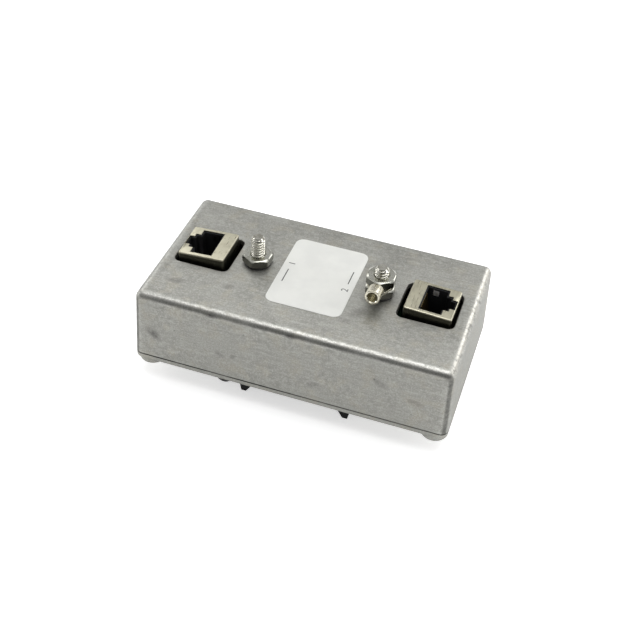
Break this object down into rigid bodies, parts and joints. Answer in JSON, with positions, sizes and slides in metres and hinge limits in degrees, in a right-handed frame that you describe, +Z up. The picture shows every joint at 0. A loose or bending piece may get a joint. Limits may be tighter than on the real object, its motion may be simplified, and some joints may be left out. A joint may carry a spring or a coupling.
{
  "type": "ethernet surge protector",
  "caption": "Die-cast box with shielded top-entry network sockets, threaded ground terminals with a ring lug, and sprung clips for an equipment rail; diverts line surges to ground.",
  "frame": {"origin": "on the plane that the rail clips' hook tips rest on, under the centre of the box", "axes": "X along the box from the left socket to the right one, Y across the box away from the viewer of the picture, Z up through the sockets' openings"},
  "size_m": [0.112, 0.062, 0.0472],
  "materials": {
    "cast_aluminium": "matt, as cast",
    "label_film": "smooth",
    "plated_steel": "bright plated",
    "dark_steel": "dark oiled",
    "tinned_copper": "satin tin plate",
    "nickel_shell": "satin nickel plate",
    "black_plastic": "fine matt",
    "gilt_wire": "bright",
    "board_laminate": "satin",
    "tube_ceramic": "glazed",
    "chip_moulding": "matt",
    "copper_strip": "satin",
    "spring_steel": "drawn"
  },
  "bodies": {
    "base": {"base_nut_left": "plated_steel", "base_nut_right": "plated_steel", "board_screws": "plated_steel", "circuit_board": "board_laminate", "clamp_diodes": "chip_moulding", "clip_nuts": "plated_steel", "clip_screws": "plated_steel", "cover_screws": "plated_steel", "enclosure_body": "cast_aluminium", "enclosure_cover": "cast_aluminium", "face_label": "label_film", "gas_tubes": "tube_ceramic", "ground_strap_left": "copper_strip", "ground_strap_right": "copper_strip", "ground_stud_left": "plated_steel", "ground_stud_right": "plated_steel", "jack_contacts_left": "gilt_wire", "jack_contacts_right": "gilt_wire", "jack_housing_left": "black_plastic", "jack_housing_right": "black_plastic", "jack_shield_left": "nickel_shell", "jack_shield_right": "nickel_shell", "latch_spring_front": "spring_steel", "latch_spring_rear": "spring_steel", "lock_washers": "dark_steel", "rail_clip_front": "black_plastic", "rail_clip_rear": "black_plastic", "series_resistors": "chip_moulding"},
    "ring_lug": {"ground_lug": "tinned_copper"},
    "upper_nut": {"terminal_nut": "plated_steel"},
    "latch_front": {"latch_slide_front": "dark_steel", "latch_hook_front": "black_plastic"},
    "latch_rear": {"latch_slide_rear": "dark_steel", "latch_hook_rear": "black_plastic"}
  },
  "joints": [
    {"name": "latch_front_slide", "type": "slide", "parent": "base", "child": "latch_front", "axis": [-1, 0, 0], "range_m": [0, 0.003], "stiffness_N_per_m": 1500, "springref_m": -0.002, "deforming": ["latch_spring_front"]},
    {"name": "latch_rear_slide", "type": "slide", "parent": "base", "child": "latch_rear", "axis": [-1, 0, 0], "range_m": [0, 0.003], "stiffness_N_per_m": 1500, "springref_m": -0.002, "deforming": ["latch_spring_rear"]},
    {"name": "lug_swivel", "type": "hinge", "parent": "base", "child": "ring_lug", "pos_m": [0.0217, 0.0008, 0.0405], "axis": [0, 0, 1], "continuous": true},
    {"name": "terminal_nut_turn", "type": "hinge", "parent": "base", "child": "upper_nut", "pos_m": [0.0217, 0.0008, 0.0426], "axis": [0, 0, 1], "continuous": true}
  ]
}
